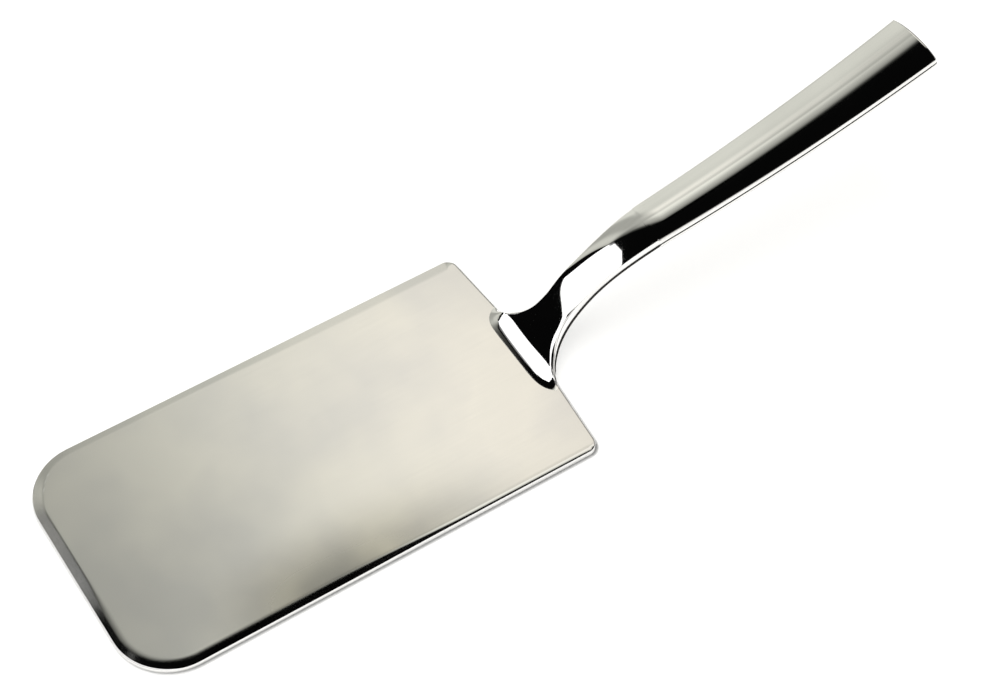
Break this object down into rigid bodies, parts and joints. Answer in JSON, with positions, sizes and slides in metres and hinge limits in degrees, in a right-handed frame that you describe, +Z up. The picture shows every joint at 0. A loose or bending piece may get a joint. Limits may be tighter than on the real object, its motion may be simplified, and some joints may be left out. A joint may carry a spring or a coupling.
{
  "type": "lasagna server",
  "caption": "Flat rectangular serving blade with rounded corners, a swan neck rising from its rear edge and an arched hollow handle, for lifting and serving square portions of food.",
  "frame": {"origin": "middle of the blade's flat underside, on the surface the server lies on", "axes": "+X from the blade's front edge towards the handle's end, +Y across the blade, +Z up out of the blade's top face"},
  "size_m": [0.2673, 0.076, 0.056],
  "materials": {
    "blade_steel": "polished stainless sheet with a soft sheen",
    "neck_steel": "mirror polished stainless forging",
    "weld_steel": "ground and polished weld metal",
    "shell_steel": "mirror polished pressed stainless",
    "cement": "cast handle cement"
  },
  "bodies": {
    "root": {"blade": "blade_steel", "neck": "neck_steel", "foot_weld": "weld_steel", "collar_weld": "weld_steel", "handle_upper_shell": "shell_steel", "handle_lower_shell": "shell_steel", "handle_end_cap": "shell_steel", "handle_filler": "cement"}
  },
  "joints": []
}
